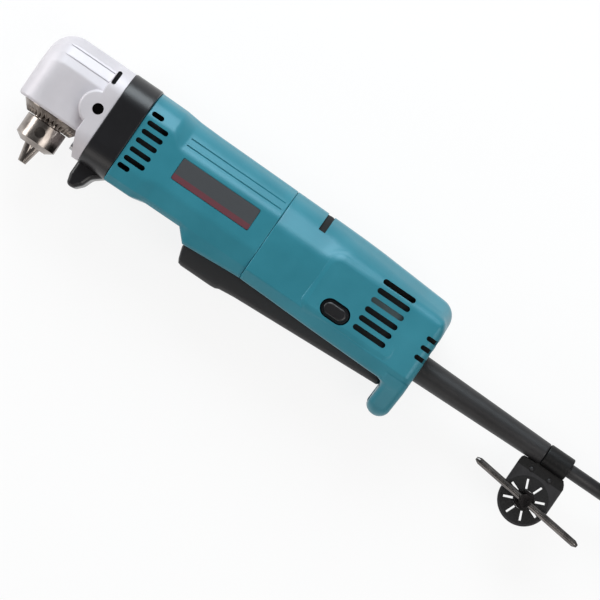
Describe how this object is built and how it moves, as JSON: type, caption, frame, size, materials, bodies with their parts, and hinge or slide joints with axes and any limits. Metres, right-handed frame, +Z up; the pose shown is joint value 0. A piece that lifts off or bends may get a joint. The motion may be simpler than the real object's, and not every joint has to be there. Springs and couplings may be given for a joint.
{
  "type": "right angle drill",
  "caption": "Corded right angle drill with a geared head, keyed chuck, paddle switch lever, lock button, reversing lever, cord guard, key holder and coiled mains lead.",
  "frame": {"origin": "middle of the drill at the surface that it lies on, without its cord", "axes": "+X from the chuck head to the cord end, +Y from the lever side to the top of the tool, +Z up, out of its left side"},
  "size_m": [0.499, 0.1492, 0.0624],
  "materials": {
    "teal_plastic": "satin moulded plastic",
    "black_plastic": "fine textured plastic",
    "cast_aluminium": "satin cast",
    "label_plate": "bare printed plate",
    "chuck_steel": "worn ground steel",
    "bright_steel": "ground",
    "laminated_iron": "stacked sheet",
    "copper": "enamelled wire",
    "brass": "plain",
    "carbon": "dull",
    "rubber": "matt rubber",
    "pale_plastic": "plain moulded"
  },
  "bodies": {
    "housing": {"gear_head": "cast_aluminium", "spindle_bearing": "bright_steel", "spindle_seal": "rubber", "spindle_bush": "brass", "pinion_bearing": "bright_steel", "pinion_rear_bush": "brass", "gear_plate": "cast_aluminium", "head_screws": "bright_steel", "front_collar": "black_plastic", "motor_housing": "teal_plastic", "nameplate": "label_plate", "handle_left": "teal_plastic", "handle_right": "teal_plastic", "armature_front_bearing": "bright_steel", "armature_rear_bearing": "bright_steel", "bearing_boot": "rubber", "field_core": "laminated_iron", "field_coils": "copper", "baffle_ring": "black_plastic", "brush_holders": "brass", "carbon_brushes": "carbon", "brush_springs": "bright_steel", "switch_body": "black_plastic", "plunger_spring": "bright_steel", "reverse_switch": "black_plastic", "capacitor": "pale_plastic", "lock_spring": "bright_steel", "lever_pin": "bright_steel", "handle_screws": "bright_steel", "cord_clamp": "black_plastic", "cord_clamp_screws": "bright_steel", "cord_guard": "rubber", "key_holder": "rubber", "power_cord": "rubber", "cord_coil": "rubber", "coil_tie": "rubber", "plug_body": "rubber", "plug_pins": "brass"},
    "armature": {"armature_shaft": "bright_steel", "armature_core": "laminated_iron", "armature_windings": "copper", "commutator": "copper", "fan": "pale_plastic"},
    "gear_shaft": {"bevel_pinion": "bright_steel", "reduction_gear": "bright_steel"},
    "spindle_set": {"spindle": "bright_steel", "bevel_gear": "bright_steel", "chuck_body": "chuck_steel"},
    "sleeve_set": {"chuck_sleeve": "chuck_steel", "chuck_nut": "chuck_steel"},
    "jaw_a": {"jaw_1": "chuck_steel"},
    "jaw_b": {"jaw_2": "chuck_steel"},
    "jaw_c": {"jaw_3": "chuck_steel"},
    "lever": {"switch_lever": "black_plastic"},
    "plunger": {"switch_plunger": "pale_plastic"},
    "lock": {"lock_button": "black_plastic"},
    "reverser": {"reverse_lever": "black_plastic"},
    "key": {"chuck_key": "chuck_steel", "key_tee_bar": "chuck_steel"}
  },
  "joints": [
    {"name": "armature_spin", "type": "hinge", "parent": "housing", "child": "armature", "pos_m": [-0.019, 0.01145, 0.031], "axis": [1, 0, 0], "continuous": true},
    {"name": "gear_shaft_spin", "type": "hinge", "parent": "housing", "child": "gear_shaft", "pos_m": [-0.084, 0.02545, 0.031], "axis": [1, 0, 0], "continuous": true},
    {"name": "spindle_spin", "type": "hinge", "parent": "housing", "child": "spindle_set", "pos_m": [-0.1117, 0.01145, 0.031], "axis": [0, 1, 0], "continuous": true},
    {"name": "sleeve_turn", "type": "hinge", "parent": "spindle_set", "child": "sleeve_set", "pos_m": [-0.1117, -0.00655, 0.031], "axis": [0, 1, 0], "range_deg": [0, 2160]},
    {"name": "jaw_a_slide", "type": "slide", "parent": "spindle_set", "child": "jaw_a", "axis": [0.2095, 0.9703, 0.121], "range_m": [0, 0.0144]},
    {"name": "jaw_b_slide", "type": "slide", "parent": "spindle_set", "child": "jaw_b", "axis": [0, 0.9703, -0.2419], "range_m": [0, 0.0144]},
    {"name": "jaw_c_slide", "type": "slide", "parent": "spindle_set", "child": "jaw_c", "axis": [-0.2095, 0.9703, 0.121], "range_m": [0, 0.0144]},
    {"name": "lever_squeeze", "type": "hinge", "parent": "housing", "child": "lever", "pos_m": [0.12316, -0.01903, 0.031], "axis": [0, 0, -1], "range_deg": [0, 2.2], "stiffness_Nm_per_rad": 8, "springref_deg": -3.44},
    {"name": "plunger_slide", "type": "slide", "parent": "housing", "child": "plunger", "axis": [0, 1, 0], "range_m": [0, 0.0022], "deforming": ["plunger_spring"]},
    {"name": "lock_press", "type": "slide", "parent": "housing", "child": "lock", "axis": [0, 0, -1], "range_m": [0, 0.003], "stiffness_N_per_m": 400, "springref_m": -0.002, "deforming": ["lock_spring"]},
    {"name": "reverse_swing", "type": "hinge", "parent": "housing", "child": "reverser", "pos_m": [0.06307, 0.03145, 0.031], "axis": [0, 1, 0], "range_deg": [-9, 9]},
    {"name": "key_pull", "type": "slide", "parent": "housing", "child": "key", "axis": [0, 0, 1], "range_m": [0, 0.045]}
  ],
  "couplings": [
    {"joint": "gear_shaft_spin", "follows": "armature_spin", "ratio": -0.2963},
    {"joint": "spindle_spin", "follows": "armature_spin", "ratio": -0.086022},
    {"joint": "jaw_a_slide", "follows": "sleeve_turn", "m_per_rad": 0.00038171},
    {"joint": "jaw_b_slide", "follows": "sleeve_turn", "m_per_rad": 0.00038171},
    {"joint": "jaw_c_slide", "follows": "sleeve_turn", "m_per_rad": 0.00038171},
    {"joint": "plunger_slide", "follows": "lever_squeeze", "m_per_rad": 0.05695}
  ]
}
